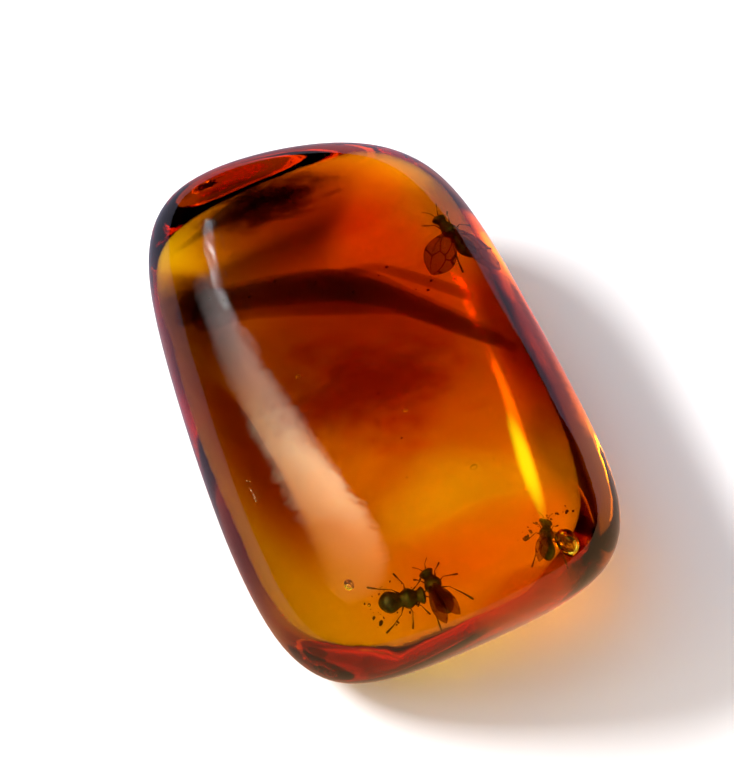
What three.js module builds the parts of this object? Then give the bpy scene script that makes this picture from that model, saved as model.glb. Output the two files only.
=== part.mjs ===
// A hand-polished pebble of amber, domed on top and ground flat underneath.
// Units are millimetres, +Z is up and +Y points to the narrow head end.
// The origin is on the resting face, at the middle of the pebble's bounding box.
import * as THREE from "three";
import { mergeVertices } from "three/addons/utils/BufferGeometryUtils.js";

// The sawn block that the pebble was ground from, and the cells along each of its sides.
const BLANK = { width: 15, length: 22, height: 9 };
const CELLS = { width: 20, length: 28, height: 12 };

// Height of the grinding centre above the plane of the back.
const CENTRE_HEIGHT = 4.3;

// Each polished face: the compass heading that it looks along (0 is +X, 90 is +Y), its slope
// (0 is an upright wall, 90 looks straight up) and its distance from the grinding centre.
const FACES = [
  { name: "crown", heading: 269, slope: 87, distance: 5.3 },
  { name: "back", heading: 0, slope: -90, distance: CENTRE_HEIGHT },
  { name: "left flank", heading: 173, slope: -4, distance: 6.4 },
  { name: "right flank", heading: 11, slope: 4, distance: 10.25 },
  { name: "head end", heading: 87, slope: 14, distance: 10.6 },
  { name: "foot end", heading: 277, slope: 2, distance: 12.1 },
  { name: "left shoulder", heading: 190, slope: 58, distance: 4.9 },
  { name: "left lower shoulder", heading: 202, slope: 40, distance: 6.4 },
  { name: "right shoulder", heading: 359, slope: 63, distance: 6.15 },
  { name: "right lower shoulder", heading: 0, slope: 32, distance: 9.05 },
  { name: "left belly", heading: 180, slope: -48, distance: 6.3 },
  { name: "right belly", heading: 0, slope: -48, distance: 6.8 },
  { name: "head belly", heading: 90, slope: -50, distance: 8.55 },
  { name: "foot belly", heading: 272, slope: -50, distance: 9.5 },
];

// How crisply the faces meet: 2 would melt them into an ellipsoid, 20 would leave edges.
const CRISPNESS = 5.5;

// The back is lapped flat at this height. The lapped face is a polygon with this many corners.
const LAPPED_HEIGHT = 0.5;
const LAPPED_CORNERS = 8;

const AMBER_COLOUR = 0xb4500c;
const POLISH_ROUGHNESS = 0.08;

/** The outward unit normal of a face. */
function normalOf({ heading, slope }) {
  const turn = THREE.MathUtils.degToRad(heading);
  const rise = THREE.MathUtils.degToRad(slope);
  return new THREE.Vector3(
    Math.cos(turn) * Math.cos(rise),
    Math.sin(turn) * Math.cos(rise),
    Math.sin(rise),
  );
}

/** Distance from the grinding centre to the polished surface along a unit direction. */
function reach(direction, faces) {
  let sum = 0;
  for (const { normal, distance } of faces) {
    sum += Math.max(normal.dot(direction) / distance, 0) ** CRISPNESS;
  }
  return sum ** (-1 / CRISPNESS);
}

/** Gathers the vertices at z = 0 into the corners of one flat polygon, which loses its inner cells. */
function lapBack(geometry) {
  const position = geometry.getAttribute("position");
  const flat = [];
  for (let i = 0; i < position.count; i++) {
    if (position.getZ(i) === 0) {
      flat.push(new THREE.Vector3().fromBufferAttribute(position, i));
    }
  }
  const corners = [];
  for (let k = 0; k < LAPPED_CORNERS; k++) {
    const turn = ((k + 0.5) * 2 * Math.PI) / LAPPED_CORNERS;
    const outward = new THREE.Vector3(Math.cos(turn), Math.sin(turn), 0);
    corners.push(flat.reduce((a, b) => (b.dot(outward) > a.dot(outward) ? b : a)));
  }
  const point = new THREE.Vector3();
  for (let i = 0; i < position.count; i++) {
    point.fromBufferAttribute(position, i);
    if (point.z !== 0) continue;
    const nearest = corners.reduce((a, b) =>
      b.distanceTo(point) < a.distanceTo(point) ? b : a,
    );
    position.setXYZ(i, nearest.x, nearest.y, 0);
  }
  return withoutEmptyTriangles(mergeVertices(geometry));
}

/** Drops the triangles that have lost a side. */
function withoutEmptyTriangles(geometry) {
  const old = geometry.getIndex().array;
  const kept = [];
  for (let i = 0; i < old.length; i += 3) {
    const [a, b, c] = old.slice(i, i + 3);
    if (a !== b && b !== c && c !== a) kept.push(a, b, c);
  }
  geometry.setIndex(kept);
  return geometry;
}

/** The pebble: every point of the blank is ground back along its ray to the polished surface. */
function pebbleGeometry() {
  const blank = new THREE.BoxGeometry(
    BLANK.width,
    BLANK.length,
    BLANK.height,
    CELLS.width,
    CELLS.length,
    CELLS.height,
  );
  blank.deleteAttribute("normal");
  blank.deleteAttribute("uv");
  const geometry = mergeVertices(blank);

  const faces = FACES.map((face) => ({
    normal: normalOf(face),
    distance: face.distance,
  }));
  const position = geometry.getAttribute("position");
  const point = new THREE.Vector3();
  for (let i = 0; i < position.count; i++) {
    point.fromBufferAttribute(position, i).normalize();
    point.multiplyScalar(reach(point, faces));
    const height = point.z + CENTRE_HEIGHT - LAPPED_HEIGHT;
    position.setXYZ(i, point.x, point.y, Math.max(height, 0));
  }

  const lapped = lapBack(geometry);
  lapped.computeBoundingBox();
  const middle = lapped.boundingBox.getCenter(new THREE.Vector3());
  lapped.translate(-middle.x, -middle.y, 0);
  lapped.computeVertexNormals();
  return lapped;
}

const amberMaterial = new THREE.MeshStandardMaterial({
  color: AMBER_COLOUR,
  roughness: POLISH_ROUGHNESS,
  metalness: 0,
});

const amber = new THREE.Mesh(pebbleGeometry(), amberMaterial);
amber.name = "amber";

const pebble = new THREE.Group();
pebble.add(amber);

export default pebble;
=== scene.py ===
"""A hand-polished pebble of amber with insects, flow sheets, veils and bubbles sealed in it."""

import logging
import math
import random
from collections.abc import Callable
from dataclasses import dataclass, field
from enum import Enum

import bpy
from mathutils import Matrix, Vector

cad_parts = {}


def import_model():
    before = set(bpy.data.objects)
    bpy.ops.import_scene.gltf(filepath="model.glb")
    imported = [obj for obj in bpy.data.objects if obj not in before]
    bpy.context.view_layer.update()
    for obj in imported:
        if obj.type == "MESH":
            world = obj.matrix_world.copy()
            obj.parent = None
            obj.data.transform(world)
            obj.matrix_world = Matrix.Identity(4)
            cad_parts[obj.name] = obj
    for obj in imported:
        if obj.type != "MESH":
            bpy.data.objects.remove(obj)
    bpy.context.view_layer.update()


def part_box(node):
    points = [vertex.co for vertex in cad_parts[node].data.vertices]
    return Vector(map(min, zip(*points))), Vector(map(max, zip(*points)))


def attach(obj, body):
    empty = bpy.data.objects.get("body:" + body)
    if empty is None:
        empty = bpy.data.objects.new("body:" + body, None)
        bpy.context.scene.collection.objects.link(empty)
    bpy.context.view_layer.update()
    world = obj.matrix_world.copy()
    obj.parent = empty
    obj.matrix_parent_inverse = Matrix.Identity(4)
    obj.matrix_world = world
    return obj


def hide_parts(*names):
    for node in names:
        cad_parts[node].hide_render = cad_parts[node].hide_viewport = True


MM = 0.001
BODY = "root"
LOG = logging.getLogger("amber")

Colour = tuple[float, float, float, float]
WHITE: Colour = (1.0, 1.0, 1.0, 1.0)


def srgb(code: str) -> Colour:
    """Turns an sRGB hex colour into the linear colour that shaders take.

    Args:
        code: six hex digits, with no sign in front.

    Returns:
        Linear red, green and blue, and an alpha of 1.
    """
    values = [int(code[i:i + 2], 16) / 255 for i in (0, 2, 4)]
    linear = [v / 12.92 if v <= 0.04045 else ((v + 0.055) / 1.055) ** 2.4 for v in values]
    return (*linear, 1.0)


def mm(*values: float) -> Vector:
    """A point or a size given in millimetres, in metres."""
    return Vector([value * MM for value in values])


def taken(red: float, green: float, blue: float) -> tuple[Colour, float]:
    """Turns the share of light that resin takes away per millimetre into a shader's values.

    Args:
        red: the red absorption, per metre.
        green: the green absorption, per metre.
        blue: the blue absorption, per metre.

    Returns:
        The colour and the density that give Volume Absorption those three rates.
    """
    density = max(red, green, blue)
    return (1 - red / density, 1 - green / density, 1 - blue / density, 1.0), density


def add_node(tree: bpy.types.NodeTree, kind: str, inputs: dict | None = None, **settings) -> bpy.types.Node:
    """Adds a shader node.

    Args:
        tree: the node tree to add it to.
        kind: the node's type name.
        inputs: socket name or number, to a value or to another node's output socket.
        settings: the node's own properties.

    Returns:
        The new node.
    """
    node = tree.nodes.new(kind)
    for name, value in settings.items():
        setattr(node, name, value)
    for name, value in (inputs or {}).items():
        if isinstance(value, bpy.types.NodeSocket):
            tree.links.new(value, node.inputs[name])
        else:
            node.inputs[name].default_value = value
    return node


def new_material(name: str) -> tuple[bpy.types.Material, bpy.types.NodeTree, bpy.types.Node]:
    """Makes an empty node material.

    Args:
        name: the material's name.

    Returns:
        The material, its node tree and its output node.
    """
    material = bpy.data.materials.new(name)
    material.use_nodes = True
    tree = material.node_tree
    tree.nodes.clear()
    return material, tree, add_node(tree, "ShaderNodeOutputMaterial")


@dataclass(frozen=True)
class Patch:
    """An oval patch of a sheet: its middle, its size in metres, and its turn from +X in degrees."""

    centre: Vector
    size: Vector
    turn: float


@dataclass(frozen=True)
class Rim:
    """How a patch ends.

    Noise pushes the rim in and out by `ragged`, with `grain` lumps of it across half the patch,
    and the patch is whole out to `core`. All are shares of half the patch's size.
    """

    ragged: float = 0.3
    grain: float = 1.1
    core: float = 0.0


def soft_patch(tree: bpy.types.NodeTree, patch: Patch, rim: Rim) -> bpy.types.NodeSocket:
    """Adds a mask that is 1 in the middle of a patch and fades raggedly to 0 at its rim.

    Args:
        tree: the node tree to add it to.
        patch: where the patch lies.
        rim: how it fades.

    Returns:
        The mask's socket.
    """
    place = add_node(tree, "ShaderNodeTexCoord").outputs["Object"]
    local = add_node(
        tree,
        "ShaderNodeMapping",
        {
            "Vector": place,
            "Location": patch.centre,
            "Rotation": (0, 0, math.radians(patch.turn)),
            "Scale": patch.size / 2,
        },
        vector_type="TEXTURE",
    ).outputs["Vector"]
    noise = add_node(
        tree, "ShaderNodeTexNoise", {"Vector": local, "Scale": rim.grain, "Detail": 2.0, "Roughness": 0.45}
    ).outputs["Fac"]
    distance = add_node(tree, "ShaderNodeVectorMath", {0: local}, operation="LENGTH").outputs["Value"]
    pushed = add_node(
        tree, "ShaderNodeMath", {0: noise, 1: 2 * rim.ragged, 2: distance}, operation="MULTIPLY_ADD"
    ).outputs["Value"]
    return add_node(
        tree,
        "ShaderNodeMapRange",
        {
            "Value": pushed,
            "From Min": rim.core + rim.ragged,
            "From Max": 1.0 + rim.ragged,
            "To Min": 1.0,
            "To Max": 0.0,
        },
        interpolation_type="SMOOTHSTEP",
    ).outputs["Result"]


def thinned(
    tree: bpy.types.NodeTree, shader: bpy.types.NodeSocket, mask: bpy.types.NodeSocket, opacity: float
) -> bpy.types.NodeSocket:
    """Mixes a shader with clear resin.

    Args:
        tree: the node tree to add to.
        shader: the output socket of the shader to thin out.
        mask: where it shows, from 0 to 1.
        opacity: how opaque it is where the mask is 1.

    Returns:
        The mixed shader's output socket.
    """
    share = add_node(tree, "ShaderNodeMath", {0: mask, 1: opacity}, operation="MULTIPLY").outputs["Value"]
    clear = add_node(tree, "ShaderNodeBsdfTransparent", {"Color": WHITE}).outputs["BSDF"]
    return add_node(tree, "ShaderNodeMixShader", {0: share, 1: clear, 2: shader}).outputs["Shader"]


@dataclass(frozen=True)
class ClearAmber:
    """Baltic amber, hand polished: clear resin whose colour deepens with the depth looked through.

    The polish leaves waves a millimetre or two across, which break up the edge of a reflection,
    and hairline scratches that only show in the gloss.
    """

    absorbed: tuple[float, float, float] = (5.0, 88.0, 1000.0)
    ior: float = 1.54
    roughness: float = 0.015
    scratched: float = 0.07
    wave_size: float = 1.6 * MM
    wave_height: float = 0.010 * MM
    pit_size: float = 0.8 * MM
    pit_depth: float = 0.0008 * MM
    scratch_width: float = MM / 9
    scratch_length: float = MM / 0.7
    scratch_turn: float = 0.2

    def material(self) -> bpy.types.Material:
        """Builds the see-through shader, its polish and its absorption.

        Returns:
            The new material.
        """
        material, tree, output = new_material("baltic_amber_hand_polished")
        place = add_node(tree, "ShaderNodeTexCoord").outputs["Object"]
        waves = add_node(
            tree,
            "ShaderNodeTexNoise",
            {"Vector": place, "Scale": 1 / self.wave_size, "Detail": 2.0, "Roughness": 0.45},
        ).outputs["Fac"]
        pits = add_node(
            tree, "ShaderNodeTexNoise", {"Vector": place, "Scale": 1 / self.pit_size, "Detail": 3.0}
        ).outputs["Fac"]
        # Scratches from the last cloth run along the pebble, so the noise is drawn out that way.
        fine, coarse = 1 / self.scratch_width, 1 / self.scratch_length
        along = add_node(
            tree,
            "ShaderNodeMapping",
            {"Vector": place, "Rotation": (0, 0, self.scratch_turn), "Scale": (fine, coarse, fine)},
        ).outputs["Vector"]
        scratch = add_node(
            tree, "ShaderNodeTexNoise", {"Vector": along, "Scale": 1.0, "Detail": 2.0}
        ).outputs["Fac"]
        haze = add_node(
            tree,
            "ShaderNodeMapRange",
            {
                "Value": scratch,
                "From Min": 0.6,
                "From Max": 0.75,
                "To Min": self.roughness,
                "To Max": self.scratched,
            },
        ).outputs["Result"]
        rolling = add_node(
            tree, "ShaderNodeBump", {"Height": waves, "Strength": 1.0, "Distance": self.wave_height}
        ).outputs["Normal"]
        pitted = add_node(
            tree,
            "ShaderNodeBump",
            {"Height": pits, "Strength": 1.0, "Distance": self.pit_depth, "Normal": rolling},
        ).outputs["Normal"]
        surface = add_node(
            tree,
            "ShaderNodeBsdfPrincipled",
            {
                "Base Color": WHITE,
                "Roughness": haze,
                "IOR": self.ior,
                "Transmission Weight": 1.0,
                "Normal": pitted,
            },
        )
        colour, density = taken(*self.absorbed)
        depth = add_node(tree, "ShaderNodeVolumeAbsorption", {"Color": colour, "Density": density})
        tree.links.new(surface.outputs["BSDF"], output.inputs["Surface"])
        tree.links.new(depth.outputs["Volume"], output.inputs["Volume"])
        return material


class Resin(Enum):
    """The runs of darker resin: a finish's name, and what it takes from red, green and blue per metre."""

    RED = ("red_resin_clear", (20.0, 470.0, 0.0))
    SCARLET = ("scarlet_resin_clear", (10.0, 230.0, 0.0))
    RUSSET = ("russet_resin_clear", (340.0, 420.0, 0.0))
    RUST = ("rust_resin_clear", (640.0, 1400.0, 0.0))
    BROWN = ("brown_resin_dusty", (780.0, 1150.0, 540.0))
    OLIVE = ("olive_resin_clear", (560.0, 480.0, 150.0))
    DUST = ("flow_rim_dark_with_dust", (780.0, 1050.0, 1000.0))


@dataclass(frozen=True)
class DarkResin:
    """Resin as hard as the rest, with more plant matter in it: it bends no light, but takes it away."""

    run: Resin

    def material(self) -> bpy.types.Material:
        """Builds a shader with no surface of its own, only absorption.

        Returns:
            The new material.
        """
        name, absorbed = self.run.value
        material, tree, output = new_material(name)
        surface = add_node(
            tree,
            "ShaderNodeBsdfPrincipled",
            {"Base Color": WHITE, "Roughness": 0.0, "IOR": 1.0, "Transmission Weight": 1.0},
        )
        colour, density = taken(*absorbed)
        depth = add_node(tree, "ShaderNodeVolumeAbsorption", {"Color": colour, "Density": density})
        tree.links.new(surface.outputs["BSDF"], output.inputs["Surface"])
        tree.links.new(depth.outputs["Volume"], output.inputs["Volume"])
        return material


@dataclass(frozen=True)
class Stain:
    """Dust and rot settled on a sheet between two runs of resin: it tints what is seen through it."""

    name: str
    tint: str
    rim: Rim = Rim(ragged=0.5, grain=2.2, core=0.15)

    def material(self, patch: Patch) -> bpy.types.Material:
        """Builds a clear shader that is tinted inside a ragged patch.

        Args:
            patch: where the stain lies.

        Returns:
            The new material.
        """
        material, tree, output = new_material(self.name)
        mask = soft_patch(tree, patch, self.rim)
        tint = add_node(
            tree, "ShaderNodeMix", {"Factor": mask, 6: WHITE, 7: srgb(self.tint)}, data_type="RGBA"
        ).outputs[2]
        surface = add_node(tree, "ShaderNodeBsdfTransparent", {"Color": tint})
        tree.links.new(surface.outputs["BSDF"], output.inputs["Surface"])
        return material


@dataclass(frozen=True)
# Most veils are haze; two upright sheets at the rims use this finish as painted light and painted shade.
class Veil:
    """A cloud of bubbles too small to see one by one: milky, and lit right through.

    `opacity` is the share of light that one side of one sheet stops, and `lit_above` the share
    of that light that turns back instead of going on.
    """

    name: str
    colour: str
    opacity: float
    lit_above: float = 0.65
    rim: Rim = Rim()

    def material(self, patch: Patch) -> bpy.types.Material:
        """Builds a milky shader that thins out to nothing at the rim of a ragged patch.

        Args:
            patch: where the veil lies.

        Returns:
            The new material.
        """
        material, tree, output = new_material(self.name)
        through = add_node(tree, "ShaderNodeBsdfTranslucent", {"Color": srgb(self.colour)}).outputs["BSDF"]
        above = add_node(tree, "ShaderNodeBsdfDiffuse", {"Color": srgb(self.colour)}).outputs["BSDF"]
        milk = add_node(tree, "ShaderNodeMixShader", {0: self.lit_above, 1: through, 2: above})
        shown = thinned(tree, milk.outputs["Shader"], soft_patch(tree, patch, self.rim), self.opacity)
        tree.links.new(shown, output.inputs["Surface"])
        return material


@dataclass(frozen=True)
class PaintedGlint:
    """Painted glint: a hair-thin sheet inside the resin that glows by itself, in place of the window's
    light thrown back from the inside of the right flank.

    It has no lamp behind it, and shines brightest along its middle.
    """

    name: str
    strength: float
    light: str
    opacity: float = 0.24
    rim: Rim = Rim(ragged=0.12, grain=1.1, core=0.2)

    def material(self, patch: Patch) -> bpy.types.Material:
        """Builds a glowing shader, the painted glint, that thins out to nothing at the rim of a patch.

        Args:
            patch: where the painted glint lies.

        Returns:
            The new material.
        """
        material, tree, output = new_material(self.name)
        # Painted glint: the sheet glows by itself.
        glint = add_node(tree, "ShaderNodeEmission", {"Color": srgb(self.light), "Strength": self.strength})
        mask = soft_patch(tree, patch, self.rim)
        shown = thinned(tree, glint.outputs["Emission"], mask, self.opacity)
        tree.links.new(shown, output.inputs["Surface"])
        # It is too faint to light anything else.
        material.cycles.emission_sampling = "NONE"
        return material


@dataclass(frozen=True)
class Cuticle:
    """Insect cuticle, carbonised: nearly black, with a dull shine and brown where it is thin."""

    name: str = "insect_cuticle_carbonised"
    dark: str = "150b06"
    brown: str = "4a2410"
    patch_size: float = 0.12 * MM
    roughness: float = 0.42
    dimple_size: float = 0.03 * MM
    dimple_depth: float = 0.006 * MM

    def material(self) -> bpy.types.Material:
        """Builds the mottled, dimpled shader.

        Returns:
            The new material.
        """
        material, tree, output = new_material(self.name)
        place = add_node(tree, "ShaderNodeTexCoord").outputs["Object"]
        mottle = add_node(
            tree, "ShaderNodeTexNoise", {"Vector": place, "Scale": 1 / self.patch_size, "Detail": 3.0}
        ).outputs["Fac"]
        spread = add_node(
            tree, "ShaderNodeMapRange", {"Value": mottle, "From Min": 0.45, "From Max": 0.75}
        ).outputs["Result"]
        colour = add_node(
            tree,
            "ShaderNodeMix",
            {"Factor": spread, 6: srgb(self.dark), 7: srgb(self.brown)},
            data_type="RGBA",
        ).outputs[2]
        dimples = add_node(
            tree, "ShaderNodeTexVoronoi", {"Vector": place, "Scale": 1 / self.dimple_size}
        ).outputs["Distance"]
        normal = add_node(
            tree, "ShaderNodeBump", {"Height": dimples, "Strength": 0.6, "Distance": self.dimple_depth}
        ).outputs["Normal"]
        surface = add_node(
            tree,
            "ShaderNodeBsdfPrincipled",
            {"Base Color": colour, "Roughness": self.roughness, "IOR": 1.56, "Normal": normal},
        )
        tree.links.new(surface.outputs["BSDF"], output.inputs["Surface"])
        return material


@dataclass(frozen=True)
class WingMembrane:
    """A fly's wing: a clear brown film a few microns thick, on a net of dark veins."""

    name: str
    film: str = "c98a4a"
    vein: str = "2a1408"
    film_opacity: float = 0.35
    vein_width: float = 0.07
    cells_along: float = 3.5
    cells_across: float = 5.0

    def material(self) -> bpy.types.Material:
        """Builds the film and its veins on the wing's own UV map.

        Returns:
            The new material.
        """
        material, tree, output = new_material(self.name)
        place = add_node(tree, "ShaderNodeTexCoord").outputs["UV"]
        stretched = add_node(
            tree, "ShaderNodeMapping", {"Vector": place, "Scale": (self.cells_along, self.cells_across, 1)}
        ).outputs["Vector"]
        edge = add_node(
            tree,
            "ShaderNodeTexVoronoi",
            {"Vector": stretched, "Scale": 1.0},
            feature="DISTANCE_TO_EDGE",
        ).outputs["Distance"]
        veins = add_node(
            tree,
            "ShaderNodeMapRange",
            {"Value": edge, "From Min": 0.0, "From Max": self.vein_width, "To Min": 1.0, "To Max": 0.0},
        ).outputs["Result"]
        colour = add_node(
            tree,
            "ShaderNodeMix",
            {"Factor": veins, 6: srgb(self.film), 7: srgb(self.vein)},
            data_type="RGBA",
        ).outputs[2]
        opacity = add_node(
            tree,
            "ShaderNodeMapRange",
            {"Value": veins, "From Min": 0.0, "From Max": 1.0, "To Min": self.film_opacity, "To Max": 0.95},
        ).outputs["Result"]
        film = add_node(tree, "ShaderNodeBsdfTranslucent", {"Color": colour}).outputs["BSDF"]
        clear = add_node(tree, "ShaderNodeBsdfTransparent", {"Color": WHITE}).outputs["BSDF"]
        surface = add_node(tree, "ShaderNodeMixShader", {0: opacity, 1: clear, 2: film}).outputs["Shader"]
        tree.links.new(surface, output.inputs["Surface"])
        return material


@dataclass(frozen=True)
class TrappedAir:
    """Air in amber: light passes into it as it passes out of the resin, so its rim turns dark."""

    ior: float = 1 / 1.54
    dimple_size: float = MM / 6
    dimple_depth: float = 0.01 * MM

    def material(self) -> bpy.types.Material:
        """Builds the bubble's inner wall, faintly dimpled by its shrinking.

        Returns:
            The new material.
        """
        material, tree, output = new_material("trapped_air_bubble_wall")
        place = add_node(tree, "ShaderNodeTexCoord").outputs["Object"]
        noise = add_node(
            tree, "ShaderNodeTexNoise", {"Vector": place, "Scale": 1 / self.dimple_size}
        ).outputs["Fac"]
        normal = add_node(
            tree, "ShaderNodeBump", {"Height": noise, "Strength": 0.3, "Distance": self.dimple_depth}
        ).outputs["Normal"]
        surface = add_node(
            tree,
            "ShaderNodeBsdfPrincipled",
            {
                "Base Color": WHITE,
                "Roughness": 0.0,
                "IOR": self.ior,
                "Transmission Weight": 1.0,
                "Normal": normal,
            },
        )
        tree.links.new(surface.outputs["BSDF"], output.inputs["Surface"])
        return material


@dataclass(frozen=True)
class BarkDust:
    """Crumbs of rotten bark: matt, from nearly black to snuff brown."""

    name: str = "bark_crumbs_rotten"
    dark: str = "120a06"
    light: str = "5c3314"
    grit: float = MM / 9
    grit_depth: float = 0.01 * MM

    def material(self) -> bpy.types.Material:
        """Builds the crumbly shader.

        Returns:
            The new material.
        """
        material, tree, output = new_material(self.name)
        place = add_node(tree, "ShaderNodeTexCoord").outputs["Object"]
        noise = add_node(
            tree, "ShaderNodeTexNoise", {"Vector": place, "Scale": 1 / self.grit, "Detail": 3.0}
        ).outputs["Fac"]
        colour = add_node(
            tree,
            "ShaderNodeMix",
            {"Factor": noise, 6: srgb(self.dark), 7: srgb(self.light)},
            data_type="RGBA",
        ).outputs[2]
        normal = add_node(
            tree, "ShaderNodeBump", {"Height": noise, "Strength": 0.8, "Distance": self.grit_depth}
        ).outputs["Normal"]
        surface = add_node(
            tree, "ShaderNodeBsdfPrincipled", {"Base Color": colour, "Roughness": 0.9, "Normal": normal}
        )
        tree.links.new(surface.outputs["BSDF"], output.inputs["Surface"])
        return material


def pick_only(piece: bpy.types.Object) -> None:
    """Deselects everything and makes one object selected and active.

    Args:
        piece: the object to pick.
    """
    bpy.ops.object.select_all(action="DESELECT")
    piece.select_set(True)
    bpy.context.view_layer.objects.active = piece


def apply_modifier(piece: bpy.types.Object, kind: str, **settings) -> None:
    """Adds a modifier and applies it.

    Args:
        piece: the mesh object that takes it.
        kind: the modifier's type name.
        settings: the modifier's own properties.
    """
    modifier = piece.modifiers.new(kind.lower(), kind)
    for name, value in settings.items():
        setattr(modifier, name, value)
    pick_only(piece)
    bpy.ops.object.modifier_apply(modifier=modifier.name)


def edit_all(piece: bpy.types.Object) -> None:
    """Enters edit mode on one object with all of its mesh selected.

    Args:
        piece: the mesh object to edit.
    """
    pick_only(piece)
    bpy.ops.object.mode_set(mode="EDIT")
    bpy.ops.mesh.select_all(action="SELECT")


def end_edit() -> None:
    """Leaves edit mode."""
    bpy.ops.object.mode_set(mode="OBJECT")


def edit_where(piece: bpy.types.Object, test: Callable[[Vector], bool]) -> None:
    """Enters edit mode on one object with only some of its vertices selected.

    Args:
        piece: the mesh object to edit.
        test: says of a vertex's place whether the vertex is to be selected.
    """
    pick_only(piece)
    bpy.ops.object.mode_set(mode="EDIT")
    bpy.ops.mesh.select_mode(type="VERT")
    bpy.ops.mesh.select_all(action="DESELECT")
    bpy.ops.object.mode_set(mode="OBJECT")
    for vertex in piece.data.vertices:
        vertex.select = test(vertex.co)
    bpy.ops.object.mode_set(mode="EDIT")


def face_outwards(piece: bpy.types.Object) -> None:
    """Makes a closed mesh's normals agree and point out, by the sign of the volume they enclose.

    Args:
        piece: the closed mesh object.
    """
    edit_all(piece)
    bpy.ops.mesh.normals_make_consistent(inside=False)
    end_edit()
    if sum(face.area * face.normal.dot(face.center) for face in piece.data.polygons) < 0:
        edit_all(piece)
        bpy.ops.mesh.flip_normals()
        end_edit()


def finish_piece(piece: bpy.types.Object, name: str, material: bpy.types.Material) -> bpy.types.Object:
    """Names a piece, dresses it, and sets it at the origin with its place in its mesh.

    Args:
        piece: the modelled object.
        name: the piece's name.
        material: its finish.

    Returns:
        The same object.
    """
    piece.name = name
    piece.data.name = name
    pick_only(piece)
    bpy.ops.object.transform_apply(location=True, rotation=True, scale=True)
    face_outwards(piece)
    bpy.ops.object.shade_smooth()
    piece.data.materials.clear()
    piece.data.materials.append(material)
    return piece


def join(pieces: list[bpy.types.Object]) -> bpy.types.Object:
    """Joins several mesh objects in one.

    Args:
        pieces: the objects to join.

    Returns:
        The first of them, which holds them all.
    """
    pick_only(pieces[0])
    for piece in pieces[1:]:
        piece.select_set(True)
    bpy.ops.object.join()
    return pieces[0]


def grow(points: list[Vector], radii: list[float], levels: int = 2) -> bpy.types.Object:
    """Grows a round limb along a line of points, by extruding a vertex and giving it a skin.

    Args:
        points: where the limb's middle line goes, in metres.
        radii: the limb's radius at each of the points, in metres.
        levels: how many times the skin is subdivided.

    Returns:
        One closed mesh object.
    """
    bpy.ops.object.select_all(action="DESELECT")
    bpy.ops.mesh.primitive_plane_add(size=MM)
    piece = bpy.context.object
    edit_all(piece)
    bpy.ops.mesh.merge(type="CENTER")
    bpy.ops.transform.translate(value=points[0])
    for start, end in zip(points, points[1:]):
        bpy.ops.mesh.extrude_region_move(TRANSFORM_OT_translate={"value": end - start})
    end_edit()
    modifier = piece.modifiers.new("skin", "SKIN")
    for vertex, radius in zip(piece.data.skin_vertices[0].data, radii):
        vertex.radius = (radius, radius)
    pick_only(piece)
    bpy.ops.object.modifier_apply(modifier=modifier.name)
    apply_modifier(piece, "SUBSURF", levels=levels, render_levels=levels)
    return piece


@dataclass
class Pebble:
    """The lump of resin, ground by hand and polished all over.

    Rounding is how often the block is subdivided before it is pressed, polish how often after.
    """

    node: str = "amber"
    rounding: int = 4
    polish: int = 2
    finish: ClearAmber = ClearAmber()

    def pressed(self) -> bpy.types.Object:
        """Rounds a block off and presses it onto the faceted solid.

        Returns:
            The lump, still coarse.
        """
        low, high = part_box(self.node)
        bpy.ops.object.select_all(action="DESELECT")
        bpy.ops.mesh.primitive_cube_add(size=1, location=(low + high) / 2, scale=high - low)
        piece = bpy.context.object
        apply_modifier(piece, "SUBSURF", levels=self.rounding, render_levels=self.rounding)
        apply_modifier(
            piece,
            "SHRINKWRAP",
            target=bpy.data.objects[self.node],
            wrap_method="PROJECT",
            use_positive_direction=True,
            use_negative_direction=True,
        )
        return piece

    def build(self) -> bpy.types.Object:
        """Presses the lump and smooths it with the polish.

        Returns:
            The finished piece.
        """
        piece = self.pressed()
        apply_modifier(piece, "SUBSURF", levels=self.polish, render_levels=self.polish)
        return finish_piece(piece, "polished_amber", self.finish.material())


@dataclass
class FlowBand:
    """The rim of a run of resin, dark with dust that settled on it before the next run came."""

    name: str
    path: list[Vector]
    radii: list[float]
    height: float
    run: Resin = Resin.DUST

    def build(self) -> bpy.types.Object:
        """Grows the band round and stretches or flattens it upright.

        Returns:
            The finished piece.
        """
        piece = grow(self.path, self.radii)
        middle = sum(self.path, Vector()) / len(self.path)
        edit_all(piece)
        bpy.ops.transform.resize(value=(1, 1, self.height), center_override=middle)
        end_edit()
        return finish_piece(piece, self.name, DarkResin(self.run).material())


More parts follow.
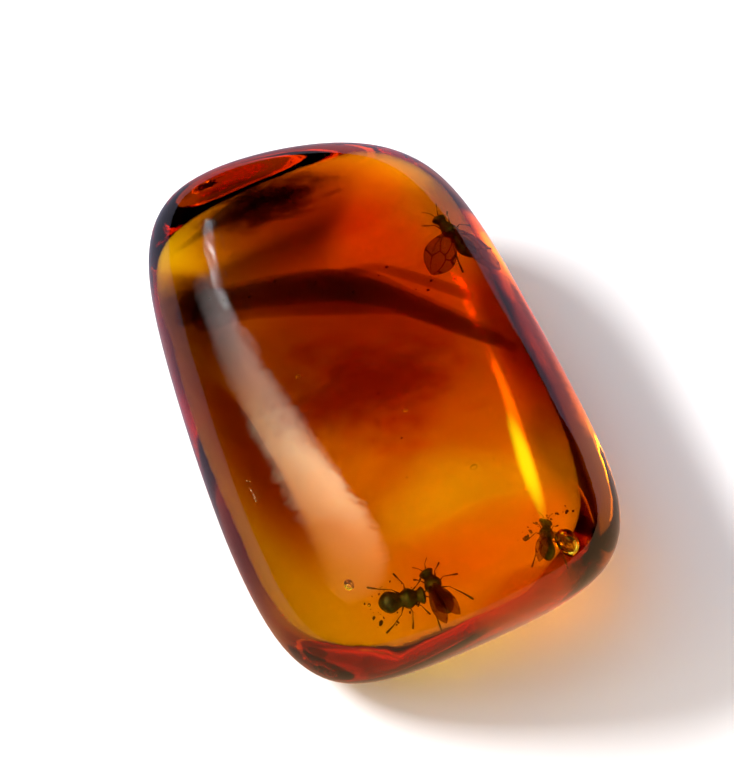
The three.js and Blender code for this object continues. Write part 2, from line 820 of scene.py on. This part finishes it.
@dataclass
class Cloud:
    """A lens of darker resin that thins out to nothing at its rim, so that it has no outline.

    Each step of the brow is how far in from the step before it starts, and how far it rises,
    as shares of the lens's width and height. The lumps in its outline are a share of its width.
    """

    name: str
    centre: Vector
    size: Vector
    run: Resin
    turn: float = 0.0
    dip: float = 0.0
    lumps: float = 0.08
    seed: int = 1
    rim: float = 0.03
    brow: tuple[tuple[float, float], ...] = (
        (0.06, 0.05),
        (0.07, 0.18),
        (0.07, 0.31),
        (0.06, 0.28),
        (0.05, 0.15),
    )

    def build(self) -> bpy.types.Object:
        """Shapes the lens from a ragged disc that is inset and raised step by step.

        Returns:
            The finished piece.
        """
        bpy.ops.object.select_all(action="DESELECT")
        bpy.ops.mesh.primitive_circle_add(vertices=20, radius=0.5, fill_type="NGON", location=self.centre)
        piece = bpy.context.object
        edit_all(piece)
        bpy.ops.transform.vertex_random(offset=self.lumps, seed=self.seed)
        bpy.ops.transform.resize(value=(1, 1, 0))
        bpy.ops.mesh.vertices_smooth(factor=0.5, repeat=2)
        bpy.ops.transform.translate(value=(0, 0, -0.5))
        bpy.ops.mesh.extrude_region_move(TRANSFORM_OT_translate={"value": (0, 0, self.rim)})
        for step, rise in self.brow:
            bpy.ops.mesh.inset(thickness=step, depth=rise)
        end_edit()
        piece.scale = self.size
        piece.rotation_euler = (math.radians(self.dip), 0, math.radians(self.turn))
        apply_modifier(piece, "SUBSURF", levels=2, render_levels=2)
        return finish_piece(piece, self.name, DarkResin(self.run).material())


@dataclass
class Film:
    """A buckled sheet inside the resin that holds a stain, a veil or a sheet of painted glint.

    A dense one is a stack of layers, each a gap below the one before.
    """

    name: str
    centre: Vector
    size: Vector
    finish: Stain | Veil | PaintedGlint
    turn: float = 0.0
    dip: float = 0.0
    buckle: float = 0.6 * MM
    seed: int = 1
    cells: int = 12
    thickness: float = 0.02 * MM
    layers: int = 1
    gap: float = 0.12 * MM
    patch_depth: float = 20 * MM
    patch_share: float = 0.8

    def patch(self) -> Patch:
        """The patch on a flat or an upright sheet, well inside the sheet's own edge, which never shows."""
        x, y = self.size.xy
        upright = abs(self.dip) > 45
        size = Vector((x, self.patch_depth, y) if upright else (x, y, self.patch_depth))
        return Patch(self.centre, size * self.patch_share, self.turn)

    def build(self) -> bpy.types.Object:
        """Buckles a grid, turns it into place and gives it its thickness and layers.

        Returns:
            The finished piece.
        """
        bpy.ops.object.select_all(action="DESELECT")
        bpy.ops.mesh.primitive_grid_add(
            x_subdivisions=self.cells, y_subdivisions=self.cells, size=1, location=self.centre
        )
        piece = bpy.context.object
        edit_all(piece)
        bpy.ops.transform.vertex_random(offset=1.0, normal=1.0, seed=self.seed)
        bpy.ops.mesh.vertices_smooth(factor=0.6, repeat=6)
        end_edit()
        piece.scale = (self.size.x, self.size.y, self.buckle)
        piece.rotation_euler = (math.radians(self.dip), 0, math.radians(self.turn))
        pick_only(piece)
        bpy.ops.object.transform_apply(location=True, rotation=True, scale=True)
        apply_modifier(piece, "SUBSURF", levels=1, render_levels=1)
        apply_modifier(piece, "SOLIDIFY", thickness=self.thickness, offset=0.0)
        apply_modifier(
            piece,
            "ARRAY",
            count=self.layers,
            use_relative_offset=False,
            use_constant_offset=True,
            constant_offset_displace=(0, 0, -self.gap),
        )
        return finish_piece(piece, self.name, self.finish.material(self.patch()))


class Wings(Enum):
    """How an insect's wings lie: how far each is swung out from straight back, in degrees."""

    NONE = ()
    FOLDED = (9.0, -9.0)
    LEFT_OPEN = (62.0, -12.0)
    RIGHT_OPEN = (12.0, -58.0)


@dataclass
class Insect:
    """A small fly or ant as the resin caught it: beaded body, bent legs, feelers and wings.

    Lengths are shares of the body's length, along its own axes: x towards the head, z up.
    """

    name: str
    centre: Vector
    length: float
    heading: float
    pitch: float = 0.0
    roll: float = 0.0
    stout: float = 1.0
    wings: Wings = Wings.FOLDED
    wing_length: float = 0.85
    wing_width: float = 0.36
    wing_finish: WingMembrane = WingMembrane("wing_membrane_veined")
    spine: tuple[tuple[float, float], ...] = (
        (0.50, 0.045),
        (0.43, 0.095),
        (0.34, 0.045),
        (0.24, 0.125),
        (0.10, 0.135),
        (-0.01, 0.055),
        (-0.14, 0.115),
        (-0.30, 0.14),
        (-0.42, 0.09),
        (-0.50, 0.025),
    )
    hips: tuple[tuple[float, float], ...] = ((0.24, 35.0), (0.12, 85.0), (0.02, 135.0))

    def frame(self) -> Matrix:
        """Works out how the insect lies.

        Returns:
            The matrix from the insect's own axes to the pebble's, in metres.
        """
        turn = Matrix.Rotation(math.radians(self.heading), 4, "Z")
        nod = Matrix.Rotation(math.radians(-self.pitch), 4, "Y")
        lean = Matrix.Rotation(math.radians(self.roll), 4, "X")
        return Matrix.Translation(self.centre) @ turn @ nod @ lean @ Matrix.Scale(self.length, 4)

    def limb(self, points: list[tuple], radii: list[float], levels: int) -> bpy.types.Object:
        """Grows one limb.

        Args:
            points: where its middle line goes, on the insect's own axes.
            radii: its radius at each of the points, as shares of the insect's length.
            levels: how many times its skin is subdivided.

        Returns:
            The limb, in the pebble's frame.
        """
        place = self.frame()
        return grow([place @ Vector(point) for point in points], [r * self.length for r in radii], levels)

    def body(self) -> bpy.types.Object:
        """Grows head, thorax and abdomen in one, with the tail drooping a little.

        Returns:
            The body, in the pebble's frame.
        """
        points = [(x, 0.0, -0.12 * min(x, 0.0) ** 2) for x, _ in self.spine]
        return self.limb(points, [radius * self.stout for _, radius in self.spine], 2)

    def legs(self) -> list[bpy.types.Object]:
        """Grows six bent legs, the hind pair longest.

        Returns:
            The legs, in the pebble's frame.
        """
        grown = []
        for pair, (hip, swing) in enumerate(self.hips):
            reach = 0.30 + 0.07 * pair
            for side in (1, -1):
                bend = math.radians(side * (swing + 6 * side * pair))
                out = Vector((math.cos(bend), math.sin(bend), 0))
                root = Vector((hip, side * 0.06 * self.stout, -0.05))
                knee = root + out * reach * 0.45 + Vector((0, 0, 0.09))
                ankle = root + out * reach * 0.85 + Vector((-0.05 * pair, 0, -0.10))
                toe = root + out * reach * 1.1 + Vector((-0.12 * pair, side * 0.03, -0.13))
                points = [tuple(root), tuple(knee), tuple(ankle), tuple(toe)]
                grown.append(self.limb(points, [0.022, 0.024, 0.014, 0.008], 1))
        return grown

    def feelers(self) -> list[bpy.types.Object]:
        """Grows the two feelers.

        Returns:
            The feelers, in the pebble's frame.
        """
        grown = []
        for side in (1, -1):
            points = [(0.47, side * 0.03, 0.04), (0.58, side * 0.09, 0.10), (0.68, side * 0.19, 0.07)]
            grown.append(self.limb(points, [0.013, 0.010, 0.007], 1))
        return grown

    def wing(self, swing: float) -> bpy.types.Object:
        """Cuts one wing from a sheet: narrow at its root, broad and round towards its tip.

        Args:
            swing: how far it is swung out from straight back, in degrees.

        Returns:
            The wing, in the pebble's frame.
        """
        columns, rows = 8, 4
        length, width = self.wing_length, self.wing_width * self.wing_length
        bpy.ops.object.select_all(action="DESELECT")
        bpy.ops.mesh.primitive_grid_add(x_subdivisions=columns, y_subdivisions=rows, size=1)
        piece = bpy.context.object
        edit_all(piece)
        bpy.ops.transform.resize(value=(length, width, 1))
        bpy.ops.transform.translate(value=(-length / 2, 0, 0))
        end_edit()
        for column in range(columns + 1):
            along = column / columns
            place = -length * along
            girth = 0.12 + 0.95 * math.sin(math.pi * along ** 1.35) ** 0.7 if along < 1 else 0.12
            edit_where(piece, lambda co: abs(co.x - place) < length / columns / 4)
            bpy.ops.transform.resize(value=(1, girth, 1), center_override=(place, 0, 0))
            bpy.ops.transform.translate(value=(0, 0, 0.05 * math.sin(math.pi * along)))
            end_edit()
        apply_modifier(piece, "SUBSURF", levels=1, render_levels=1)
        apply_modifier(piece, "SOLIDIFY", thickness=0.006, offset=0.0)
        hinge = Matrix.Translation((0.10, math.copysign(0.05, swing), 0.12 * self.stout))
        piece.matrix_world = self.frame() @ hinge @ Matrix.Rotation(math.radians(-swing), 4, "Z")
        return piece

    def build(self) -> list[bpy.types.Object]:
        """Builds the body with its limbs as one piece, and the wings as another.

        Returns:
            The finished pieces.
        """
        cuticle = join([self.body(), *self.legs(), *self.feelers()])
        pieces = [finish_piece(cuticle, self.name, Cuticle().material())]
        if self.wings is not Wings.NONE:
            sheets = join([self.wing(swing) for swing in self.wings.value])
            pieces.append(finish_piece(sheets, f"{self.name}_wings", self.wing_finish.material()))
        return pieces


@dataclass
class Bubbles:
    """Air bubbles, squashed a little as the resin ran.

    Each spot is a place, a radius and how many times longer than wide the bubble is.
    """

    name: str
    spots: list[tuple[Vector, float, float]]

    def build(self) -> bpy.types.Object:
        """Blows each bubble and squashes it along the run.

        Returns:
            The finished piece.
        """
        blown = []
        for index, (place, radius, draw) in enumerate(self.spots):
            bpy.ops.object.select_all(action="DESELECT")
            bpy.ops.mesh.primitive_ico_sphere_add(subdivisions=3, radius=radius, location=place)
            piece = bpy.context.object
            edit_all(piece)
            bpy.ops.transform.resize(value=(draw, 1, 1 / draw), center_override=place)
            turn = math.radians(40 + 35 * index)
            bpy.ops.transform.rotate(value=turn, orient_axis="Z", center_override=place)
            end_edit()
            apply_modifier(piece, "SUBSURF", levels=1, render_levels=1)
            blown.append(piece)
        return finish_piece(join(blown), self.name, TrappedAir().material())


@dataclass
class Crumbs:
    """Crumbs of bark and soil strewn through a patch of the resin.

    The sizes are the smallest and the largest crumb's radius; most are small.
    """

    name: str
    centre: Vector
    size: Vector
    count: int
    sizes: Vector
    seed: int
    turn: float = 0.0
    finish: BarkDust = BarkDust()

    def build(self) -> bpy.types.Object:
        """Breaks one crumb and strews copies of it, each turned and sized its own way.

        Returns:
            The finished piece.
        """
        rng = random.Random(self.seed)
        smallest, largest = self.sizes
        bpy.ops.object.select_all(action="DESELECT")
        bpy.ops.mesh.primitive_ico_sphere_add(subdivisions=2, radius=1)
        first = bpy.context.object
        edit_all(first)
        bpy.ops.transform.vertex_random(offset=0.35, seed=self.seed)
        end_edit()
        lie = Matrix.Rotation(math.radians(self.turn), 4, "Z")
        crumbs = []
        for _ in range(self.count):
            copy = first.copy()
            copy.data = first.data.copy()
            bpy.context.collection.objects.link(copy)
            way = Vector([rng.gauss(0, 1) for _ in range(3)]).normalized() * rng.random() ** 0.6 / 2
            offset = Vector([step * side for step, side in zip(way, self.size)])
            size = smallest + (largest - smallest) * rng.random() ** 3
            spin = Vector([rng.uniform(0, math.tau) for _ in range(3)])
            squash = Vector([size, size * rng.uniform(0.35, 0.8), size * rng.uniform(0.35, 0.7)])
            place = Matrix.Translation(self.centre) @ lie @ Matrix.Translation(offset)
            copy.matrix_world = place @ Matrix.LocRotScale(None, spun(spin), squash)
            crumbs.append(copy)
        bpy.data.objects.remove(first)
        return finish_piece(join(crumbs), self.name, self.finish.material())


def spun(angles: Vector) -> Matrix:
    """The rotation that three angles about X, Y and Z give, in that order."""
    about_x, about_y, about_z = [Matrix.Rotation(angle, 3, axis) for angle, axis in zip(angles, "XYZ")]
    return about_z @ about_y @ about_x


def out_of_sky(heading: float, elevation: float) -> Vector:
    """The unit direction to a spot in the sky, given in degrees."""
    turn, rise = math.radians(heading), math.radians(elevation)
    return Vector((math.cos(turn) * math.cos(rise), math.sin(turn) * math.cos(rise), math.sin(rise)))


@dataclass
class Panel:
    """One soft light panel, placed by where it stands in the sky seen from the pebble."""

    name: str
    heading: float
    elevation: float
    wide: float
    high: float
    radiance: float
    colour: str = "ffffff"
    distance: float = 0.4

    def build(self, target: Vector) -> None:
        """Adds the panel facing the target; its power follows from the brightness asked for.

        No panel is mirrored in the polish: only the blind and the card are.

        Args:
            target: the point that the panel faces.
        """
        out = out_of_sky(self.heading, self.elevation)
        bpy.ops.object.light_add(type="AREA", location=target + out * self.distance)
        lamp = bpy.context.object
        lamp.name = self.name
        lamp.rotation_euler = out.to_track_quat("Z", "Y").to_euler()
        lamp.data.shape = "RECTANGLE"
        lamp.data.size = 2 * self.distance * math.tan(math.radians(self.wide / 2))
        lamp.data.size_y = 2 * self.distance * math.tan(math.radians(self.high / 2))
        lamp.data.energy = self.radiance * math.pi * lamp.data.size * lamp.data.size_y
        lamp.data.color = srgb(self.colour)[:3]
        lamp.visible_glossy = False


@dataclass
class WindowBlind:
    """A tall window behind a half-drawn curtain: a wedge of daylight that fades towards its point.

    The wedge is `point` of its full height at its thin end. The curtain's hem sags from its crest,
    and frays. The daylight is a colour ramp along the window.
    """

    heading: float = 160.0
    elevation: float = 35.0
    wide: float = 72.0
    high: float = 30.0
    tilt: float = 5.5
    distance: float = 0.4
    point: float = 0.35
    sag: float = 12.0
    crest: float = 0.595
    bright: float = 10.0
    frayed: float = 0.55
    folds: tuple[float, float] = (150.0, 12.0)
    daylight: tuple[tuple[float, str], ...] = (
        (0.38, "000000"),
        (0.46, "9a8c88"),
        (0.52, "b5a48c"),
        (0.56, "fff0c0"),
        (0.60, "ffe0a8"),
        (0.65, "c8a070"),
        (0.73, "a37a4c"),
        (0.90, "000000"),
    )

    def build(self, target: Vector) -> None:
        """Adds the glowing wedge as a sheet that faces the target.

        Args:
            target: the point that the window faces.
        """
        out = out_of_sky(self.heading, self.elevation)
        half_wide = self.distance * math.tan(math.radians(self.wide / 2))
        half_high = self.distance * math.tan(math.radians(self.high / 2))
        bpy.ops.object.select_all(action="DESELECT")
        bpy.ops.mesh.primitive_plane_add(size=2)
        piece = bpy.context.object
        piece.name = "window_wedge"
        edit_all(piece)
        bpy.ops.transform.resize(value=(half_wide, half_high, 1))
        end_edit()
        piece.location = target + out * self.distance
        facing = out.to_track_quat("Z", "Y").to_matrix()
        piece.rotation_euler = (facing @ Matrix.Rotation(math.radians(self.tilt), 3, "Z")).to_euler()
        piece.data.materials.append(self.glow(half_wide, half_high))

    def glow(self, half_wide: float, half_high: float) -> bpy.types.Material:
        """Builds the light that the curtain lets by: a feathered wedge along the window.

        Args:
            half_wide: half the window's width, in metres.
            half_high: half its height, in metres.

        Returns:
            The new material.
        """
        material, tree, output = new_material("daylight_past_curtain")
        place = add_node(tree, "ShaderNodeTexCoord").outputs["Object"]
        parts = add_node(tree, "ShaderNodeSeparateXYZ", {"Vector": place}).outputs
        along = add_node(
            tree, "ShaderNodeMapRange", {"Value": parts["X"], "From Min": -half_wide, "From Max": half_wide}
        ).outputs["Result"]
        girth = add_node(
            tree,
            "ShaderNodeMapRange",
            {
                "Value": along,
                "From Min": 0.3,
                "From Max": 0.46,
                "To Min": self.point * half_high,
                "To Max": half_high,
            },
        ).outputs["Result"]
        # The curtain's hem hangs in an arch, highest at the crest.
        off = add_node(
            tree, "ShaderNodeMath", {0: along, 1: self.crest}, operation="SUBTRACT"
        ).outputs["Value"]
        arch = add_node(tree, "ShaderNodeMath", {0: off, 1: off}, operation="MULTIPLY").outputs["Value"]
        hung = add_node(
            tree,
            "ShaderNodeMath",
            {0: arch, 1: self.sag * half_high, 2: parts["Y"]},
            operation="MULTIPLY_ADD",
        ).outputs["Value"]
        across = add_node(tree, "ShaderNodeMath", {0: hung, 1: girth}, operation="DIVIDE").outputs["Value"]
        folds = add_node(
            tree, "ShaderNodeMapping", {"Vector": place, "Scale": (*self.folds, 1)}
        ).outputs["Vector"]
        ripple = add_node(
            tree, "ShaderNodeTexNoise", {"Vector": folds, "Scale": 1.0, "Detail": 3.0}
        ).outputs["Fac"]
        level = add_node(tree, "ShaderNodeMath", {0: across}, operation="ABSOLUTE").outputs["Value"]
        far = add_node(
            tree, "ShaderNodeMath", {0: ripple, 1: self.frayed, 2: level}, operation="MULTIPLY_ADD"
        ).outputs["Value"]
        feather = add_node(
            tree,
            "ShaderNodeMapRange",
            {"Value": far, "From Min": 0.65, "From Max": 1.05, "To Min": 1.0, "To Max": 0.0},
            interpolation_type="SMOOTHSTEP",
        ).outputs["Result"]
        # More sky shows over the hem than through the cloth below it.
        cloth = add_node(
            tree,
            "ShaderNodeMapRange",
            {"Value": across, "From Min": -0.5, "From Max": 0.2, "To Min": 0.4, "To Max": 1.0},
        ).outputs["Result"]
        ramp = add_node(tree, "ShaderNodeValToRGB", {"Fac": along})
        stops = ramp.color_ramp.elements
        for index, (spot, code) in enumerate(self.daylight):
            stop = stops[index] if index < 2 else stops.new(spot)
            stop.position, stop.color = spot, srgb(code)
        shown = add_node(
            tree, "ShaderNodeMath", {0: feather, 1: cloth}, operation="MULTIPLY"
        ).outputs["Value"]
        strength = add_node(
            tree, "ShaderNodeMath", {0: shown, 1: self.bright}, operation="MULTIPLY"
        ).outputs["Value"]
        glow = add_node(
            tree, "ShaderNodeEmission", {"Color": ramp.outputs["Color"], "Strength": strength}
        )
        clear = add_node(tree, "ShaderNodeBsdfTransparent", {"Color": WHITE})
        light = add_node(
            tree, "ShaderNodeAddShader", {0: glow.outputs["Emission"], 1: clear.outputs["BSDF"]}
        )
        tree.links.new(light.outputs["Shader"], output.inputs["Surface"])
        return material


@dataclass
class Studio:
    """A white table by a window, and the camera that looks down at the pebble.

    Azimuth is the camera's turn from -Y, and elevation its rise over the table, in degrees. The
    air gap keeps the table clear of the pebble's flat back.
    """

    azimuth: float = -20.9
    elevation: float = 60.8
    distance: float = 125.4 * MM
    lens: float = 147.2
    aim: Vector = field(default_factory=lambda: mm(0.02, 1.19, 2.92))
    floor_size: float = 1.2
    air_gap: float = 0.03 * MM
    floor_colour: str = "f6f4f3"
    card_head: str = "a09cb4"
    card_foot: str = "dca878"
    sky: Colour = (0.34, 0.33, 0.36, 1.0)

    def lay_card(self) -> None:
        """Lays a dim card on the table, seen only in the polish: warmer and brighter at the foot."""
        bpy.ops.object.select_all(action="DESELECT")
        bpy.ops.mesh.primitive_plane_add(size=self.floor_size, location=(0, 0, -2 * self.air_gap))
        card = bpy.context.object
        card.name = "reflected_card"
        material, tree, output = new_material("dim_card_in_the_polish")
        place = add_node(tree, "ShaderNodeTexCoord").outputs["Object"]
        north = add_node(tree, "ShaderNodeSeparateXYZ", {"Vector": place}).outputs["Y"]
        far = add_node(
            tree,
            "ShaderNodeMapRange",
            {"Value": north, "From Min": -14 * MM, "From Max": 6 * MM},
            interpolation_type="SMOOTHSTEP",
        ).outputs["Result"]
        shade = add_node(
            tree,
            "ShaderNodeMix",
            {"Factor": far, 6: srgb(self.card_foot), 7: srgb(self.card_head)},
            data_type="RGBA",
        ).outputs[2]
        glow = add_node(tree, "ShaderNodeEmission", {"Color": shade, "Strength": 1.0})
        tree.links.new(glow.outputs["Emission"], output.inputs["Surface"])
        # The card is found by reflection alone.
        material.cycles.emission_sampling = "NONE"
        card.data.materials.append(material)
        card.visible_camera = False
        card.visible_diffuse = False
        card.visible_transmission = False
        card.visible_shadow = False

    def build(self) -> None:
        """Adds the floor, the lights, the sky and the camera."""
        bpy.ops.object.select_all(action="DESELECT")
        bpy.ops.mesh.primitive_plane_add(size=self.floor_size, location=(0, 0, -self.air_gap))
        floor = bpy.context.object
        floor.name = "table_top"
        material, tree, output = new_material("matt_white_table")
        paint = add_node(tree, "ShaderNodeBsdfDiffuse", {"Color": srgb(self.floor_colour)})
        tree.links.new(paint.outputs["BSDF"], output.inputs["Surface"])
        floor.data.materials.append(material)
        # The polish mirrors the card below in place of the table.
        floor.visible_glossy = False
        self.lay_card()

        for light in (
            WindowBlind(),
            Panel("key", heading=142, elevation=38, wide=20, high=5.5, radiance=140),
            Panel("fill", heading=140, elevation=58, wide=70, high=60, radiance=1.2),
        ):
            light.build(self.aim)

        world = bpy.data.worlds.new("studio")
        world.use_nodes = True
        world.node_tree.nodes["Background"].inputs["Color"].default_value = self.sky
        # The ceiling lights the table and the resin, but is too dark to be mirrored in the polish.
        world.cycles_visibility.glossy = False
        scene = bpy.context.scene
        scene.world = world
        scene.view_settings.view_transform = "Standard"
        scene.cycles.max_bounces = 30
        scene.cycles.transmission_bounces = 30
        scene.cycles.transparent_max_bounces = 64

        turn, rise = math.radians(self.azimuth), math.radians(self.elevation)
        back = Vector((math.sin(turn) * math.cos(rise), -math.cos(turn) * math.cos(rise), math.sin(rise)))
        bpy.ops.object.camera_add(location=self.aim + back * self.distance)
        camera = bpy.context.object
        camera.rotation_euler = back.to_track_quat("Z", "Y").to_euler()
        camera.data.lens = self.lens
        camera.data.sensor_width = 36
        camera.data.clip_start = 5 * MM
        camera.data.clip_end = 10
        scene.camera = camera


def sealed_in() -> list[Cloud | FlowBand | Film | Insect | Bubbles | Crumbs]:
    """Lists what the resin holds, from the big runs of colour down to the crumbs.

    Returns:
        One builder for each kind of thing, in the order in which they are built.
    """
    membrane = WingMembrane("wing_membrane_veined")
    stained_wing = WingMembrane(
        "wing_membrane_stained", film="a8481c", vein="4a200c", film_opacity=0.5, vein_width=0.045,
        cells_along=2.2, cells_across=2.4,
    )
    return [
        Cloud("red_run", mm(0.4, 4.0, 5.5), mm(12.6, 14.5, 1.9), Resin.RED, turn=8, seed=3),
        Cloud("red_head", mm(0.8, 7.6, 5.4), mm(10.6, 6.4, 1.6), Resin.RED, turn=4, seed=4),
        Cloud("red_foot", mm(1.4, -7.6, 5.2), mm(11.0, 5.0, 1.2), Resin.RED, turn=8, seed=14),
        Cloud("red_right", mm(4.9, -2.6, 5.0), mm(3.8, 8.0, 1.4), Resin.RED, turn=6, seed=15),
        Cloud("scarlet_head", mm(2.4, 6.0, 6.4), mm(7.4, 6.4, 1.4), Resin.SCARLET, turn=10, seed=13),
        Cloud("russet_middle", mm(-0.7, 1.2, 5.4), mm(12.0, 8.8, 1.8), Resin.RUSSET, turn=-12, seed=5),
        Cloud("russet_right", mm(5.3, 0.0, 4.9), mm(3.4, 10.4, 1.7), Resin.RUST, turn=8, seed=7),
        Cloud("russet_left", mm(-5.2, -1.2, 4.8), mm(2.8, 13.0, 1.4), Resin.RUST, turn=7, seed=17),
        Cloud("brown_head", mm(-1.0, 7.6, 5.6), mm(9.8, 5.0, 1.7), Resin.BROWN, turn=10, seed=6),
        Cloud("brown_left", mm(-4.9, 5.0, 5.1), mm(3.6, 8.4, 1.8), Resin.BROWN, turn=4, seed=8),
        Cloud("brown_right", mm(5.6, 2.4, 4.3), mm(2.0, 9.0, 1.6), Resin.BROWN, turn=11, seed=10),
        Cloud("olive_right", mm(5.0, -5.5, 5.0), mm(3.4, 8.8, 1.5), Resin.OLIVE, turn=3, seed=9),
        Cloud("umber_head", mm(-2.5, 8.6, 5.6), mm(7.4, 3.4, 1.1), Resin.DUST, turn=6, dip=-18, seed=11),
        FlowBand(
            "flow_band_core",
            [
                mm(-5.6, 5.8, 5.0),
                mm(-4.2, 5.5, 5.1),
                mm(-2.5, 5.0, 5.2),
                mm(-0.4, 4.3, 5.2),
                mm(1.2, 3.1, 5.1),
                mm(2.6, 1.6, 5.0),
                mm(3.8, 0.5, 4.9),
                mm(5.0, -0.5, 4.7),
            ],
            [v * MM for v in (0.75, 0.7, 0.6, 0.5, 0.5, 0.5, 0.42, 0.25)],
            1.5,
        ),
        FlowBand(
            "flow_band_edge",
            [
                mm(-5.2, 5.5, 4.9),
                mm(-3.6, 5.1, 5.0),
                mm(-1.6, 4.5, 5.1),
                mm(0.4, 3.7, 5.1),
                mm(1.9, 2.5, 5.0),
                mm(3.2, 1.2, 4.9),
                mm(4.6, -0.1, 4.7),
            ],
            [v * MM for v in (1.15, 1.1, 0.9, 0.7, 0.6, 0.55, 0.4)],
            0.9,
            Resin.BROWN,
        ),
        FlowBand(
            "flow_band_fork",
            [mm(0.2, 4.5, 5.4), mm(1.4, 4.2, 5.4), mm(2.8, 3.1, 5.3), mm(4.2, 2.0, 5.2)],
            [v * MM for v in (0.2, 0.3, 0.28, 0.2)],
            1.8,
        ),
        Film(
            "veil_foot", mm(1.1, -6.2, 5.6), mm(8.8, 6.2, 1),
            Veil("milky_veil_dense", "ffd890", 0.22, lit_above=0.9), turn=-20, dip=5, seed=21, layers=3,
        ),
        Film(
            "veil_middle", mm(-2.2, -3.0, 5.3), mm(5.4, 6.0, 1), Veil("milky_veil_thin", "ffb050", 0.14),
            turn=16, dip=-4, seed=22, layers=2,
        ),
        Film(
            "veil_head", mm(2.3, 5.8, 5.5), mm(7.4, 6.2, 1),
            Veil("milky_veil_orange", "ffd080", 0.24, lit_above=0.95), turn=12, dip=6, seed=24, layers=4,
        ),
        # Painted light: an orange sheet standing just inside the foot end's rim, in place of the light that
        # runs through the resin and lights that corner.
        Film(
            "veil_foot_rim", mm(2.0, -9.1, 4.1), mm(6.0, 3.0, 1),
            Veil("rust_sheet_painted_light", "ff8038", 0.24, lit_above=0.6, rim=Rim(core=0.4)),
            turn=10, dip=70, seed=28, layers=2,
        ),
        # Painted shade and reflection: a grey-brown sheet standing just inside the head end's rim, giving
        # that rim its dull grey-brown.
        Film(
            "dust_head_rim", mm(-2.4, 9.0, 4.6), mm(6.0, 3.0, 1),
            Veil("umber_sheet_painted_shade", "5a4440", 0.24, lit_above=0.5, rim=Rim(core=0.4)),
            turn=20, dip=-70, seed=29, layers=2,
        ),
        # Two sheets of painted glint along the right flank: they glow where the window's light shows from
        # inside the resin.
        Film(
            "sun_seam_long", mm(3.75, -4.1, 5.7), mm(0.75, 10.0, 1),
            PaintedGlint("painted_glint_long", 1.7, light="ff7010"),
            turn=-4.5, buckle=0.1 * MM, seed=26, layers=2, gap=0.05 * MM,
        ),
        Film(
            "sun_seam_foot", mm(3.5, -5.8, 6.3), mm(1.0, 6.2, 1),
            PaintedGlint("painted_glint_foot", 1.6, light="ffea20"),
            turn=-4.5, buckle=0.1 * MM, seed=27, layers=2, gap=0.05 * MM,
        ),
        Film(
            "stain_head", mm(-1.4, 8.2, 6.0), mm(7.4, 2.6, 1),
            Stain("dust_stain_umber", "8a3a14", Rim(ragged=0.6, grain=2.2, core=0.15)),
            turn=-6, dip=6, seed=23,
        ),
        Film(
            "stain_middle", mm(-0.4, -0.4, 4.6), mm(10.0, 7.0, 1),
            Stain("dust_stain_rust", "eab27c", Rim(ragged=0.7, grain=1.9, core=0.15)),
            turn=-20, dip=3, seed=25,
        ),
        Insect(
            "ant", mm(-2.15, -8.6, 5.0), 1.8 * MM, heading=-8, pitch=4, roll=20, stout=1.8, wings=Wings.NONE
        ),
        Insect(
            "gnat", mm(-0.85, -8.7, 5.05), 1.6 * MM, heading=98, pitch=6, roll=-25, stout=1.8,
            wings=Wings.FOLDED, wing_finish=stained_wing,
        ),
        Insect(
            "midge", mm(3.15, -8.3, 5.1), 1.4 * MM, heading=72, pitch=-8, roll=10, stout=1.8,
            wings=Wings.RIGHT_OPEN, wing_finish=membrane,
        ),
        Insect(
            "fungus_gnat", mm(4.6, 4.8, 5.3), 2.2 * MM, heading=112, pitch=10, roll=15, stout=1.7,
            wings=Wings.LEFT_OPEN, wing_length=1.1, wing_width=0.5, wing_finish=stained_wing,
        ),
        Bubbles(
            "air_bubbles",
            [
                (mm(3.85, -8.55, 5.0), 0.42 * MM, 1.15),
                (mm(-3.8, -7.4, 5.0), 0.2 * MM, 1.1),
                (mm(-3.45, -8.45, 5.1), 0.07 * MM, 1.0),
                (mm(1.9, -4.4, 3.4), 0.11 * MM, 1.2),
                (mm(-2.2, 1.4, 4.4), 0.09 * MM, 1.1),
                (mm(0.4, -1.9, 5.3), 0.07 * MM, 1.3),
                (mm(2.7, 6.2, 4.0), 0.12 * MM, 1.1),
            ],
        ),
        Crumbs("crumbs_by_insects", mm(-2.3, -8.6, 4.9), mm(3.6, 1.8, 0.8), 46, mm(0.02, 0.13), 31),
        Crumbs("crumbs_by_midge", mm(3.2, -7.7, 5.0), mm(3.4, 1.2, 0.8), 34, mm(0.02, 0.12), 32, turn=8),
        Crumbs("crumbs_in_flow", mm(-0.5, 4.4, 4.9), mm(10.0, 1.6, 1.4), 60, mm(0.015, 0.09), 33, turn=-22),
        # Pale flakes just under the polish, whose paleness is also painted glint, standing in for light
        # caught by small nicks in the surface.
        Crumbs(
            "surface_flakes", mm(-5.95, -2.6, 5.3), mm(0.35, 1.6, 0.3), 16, mm(0.015, 0.06), 35,
            turn=12, finish=BarkDust("pale_flakes_painted_glint", "d8a890", "fff0e4"),
        ),
        Crumbs("crumbs_at_large", mm(0.3, -1.5, 4.2), mm(9.0, 15.0, 4.0), 60, mm(0.01, 0.05), 34),
    ]


def main() -> None:
    """Builds the pebble, what is sealed in it and the studio, in that order."""
    logging.basicConfig(level=logging.INFO, format="%(name)s: %(message)s")
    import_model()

    pebble = Pebble().build()
    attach(pebble, BODY)
    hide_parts("amber")
    LOG.info("%s: %d faces", pebble.name, len(pebble.data.polygons))

    for part in sealed_in():
        made = part.build()
        for piece in made if isinstance(made, list) else [made]:
            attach(piece, BODY)
            LOG.info("%s: %d faces", piece.name, len(piece.data.polygons))

    Studio().build()


if __name__ == "__main__":
    main()
